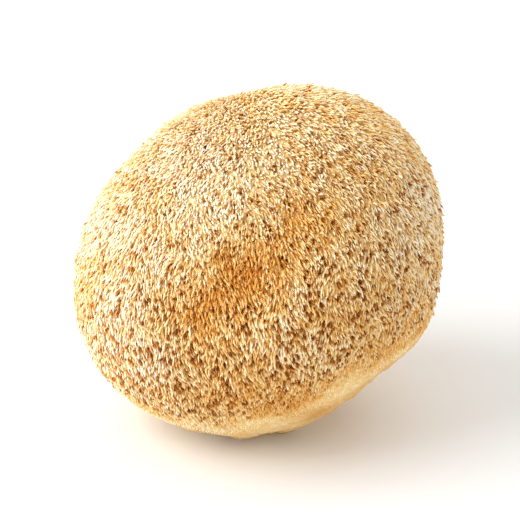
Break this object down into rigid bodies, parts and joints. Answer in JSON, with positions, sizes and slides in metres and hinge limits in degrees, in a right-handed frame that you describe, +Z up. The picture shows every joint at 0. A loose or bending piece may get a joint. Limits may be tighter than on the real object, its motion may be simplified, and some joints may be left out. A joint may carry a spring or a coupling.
{
  "type": "dried lion's mane mushroom",
  "caption": "Dried lion's mane mushroom: a leaning ball coated in short spines, bare underneath, standing on its cut stalk.",
  "frame": {"origin": "middle of the flat cut of the stalk, which the mushroom rests on", "axes": "+Z up out of the cut, +X to the right along the widest side, -Y the front that the camera sees"},
  "size_m": [0.0878, 0.0833, 0.0802],
  "materials": {
    "dried_flesh": "matte"
  },
  "bodies": {
    "root": {"fruit_body": "dried_flesh"}
  },
  "joints": []
}
